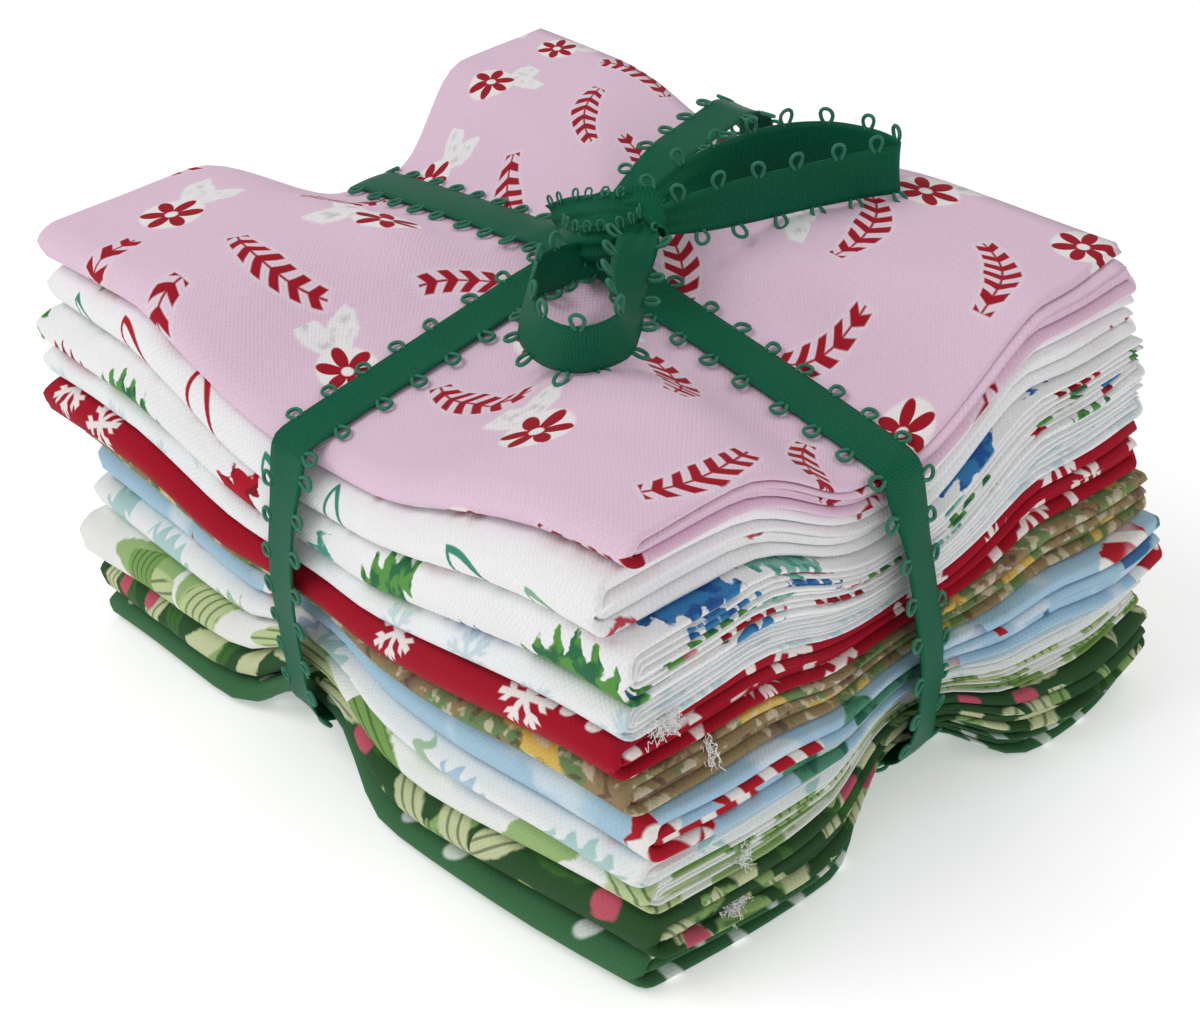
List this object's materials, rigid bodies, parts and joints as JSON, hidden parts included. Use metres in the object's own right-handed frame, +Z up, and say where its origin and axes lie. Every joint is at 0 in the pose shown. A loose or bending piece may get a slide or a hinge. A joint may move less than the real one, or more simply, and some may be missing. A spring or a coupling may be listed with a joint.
{
  "type": "fat quarter bundle",
  "caption": "Stack of folded quilting cotton fat quarters, tied crosswise with a picot-edged satin ribbon that ends in a two-loop bow on top.",
  "frame": {"origin": "bottom centre of the whole bundle's box, on the surface it rests on", "axes": "+Z up; +X and +Y along the sides of the folded cloths, so that the picture's near corner is at +X -Y"},
  "size_m": [0.1486, 0.1182, 0.0856],
  "materials": {
    "green_dots_cotton": "matte plain weave",
    "dark_leaves_cotton": "matte plain weave",
    "white_leaves_cotton": "matte plain weave",
    "white_teal_cotton": "matte plain weave",
    "sky_cotton": "matte plain weave",
    "tan_cotton": "matte plain weave",
    "red_cotton": "matte plain weave",
    "pale_sprigs_cotton": "matte plain weave",
    "white_sprigs_cotton": "matte plain weave",
    "white_hooks_cotton": "matte plain weave",
    "pink_cotton": "matte plain weave",
    "green_satin": "satin"
  },
  "bodies": {
    "root": {"fat_quarter_green_dots": "green_dots_cotton", "fat_quarter_dark_leaves": "dark_leaves_cotton", "fat_quarter_white_leaves": "white_leaves_cotton", "fat_quarter_white_teal": "white_teal_cotton", "fat_quarter_sky": "sky_cotton", "fat_quarter_tan": "tan_cotton", "fat_quarter_red": "red_cotton", "fat_quarter_pale_sprigs": "pale_sprigs_cotton", "fat_quarter_white_sprigs": "white_sprigs_cotton", "fat_quarter_white_hooks": "white_hooks_cotton", "fat_quarter_pink": "pink_cotton", "ribbon_wrap_short": "green_satin", "ribbon_wrap_long": "green_satin", "ribbon_knot": "green_satin", "ribbon_loop_right": "green_satin", "ribbon_loop_front": "green_satin"}
  },
  "joints": []
}
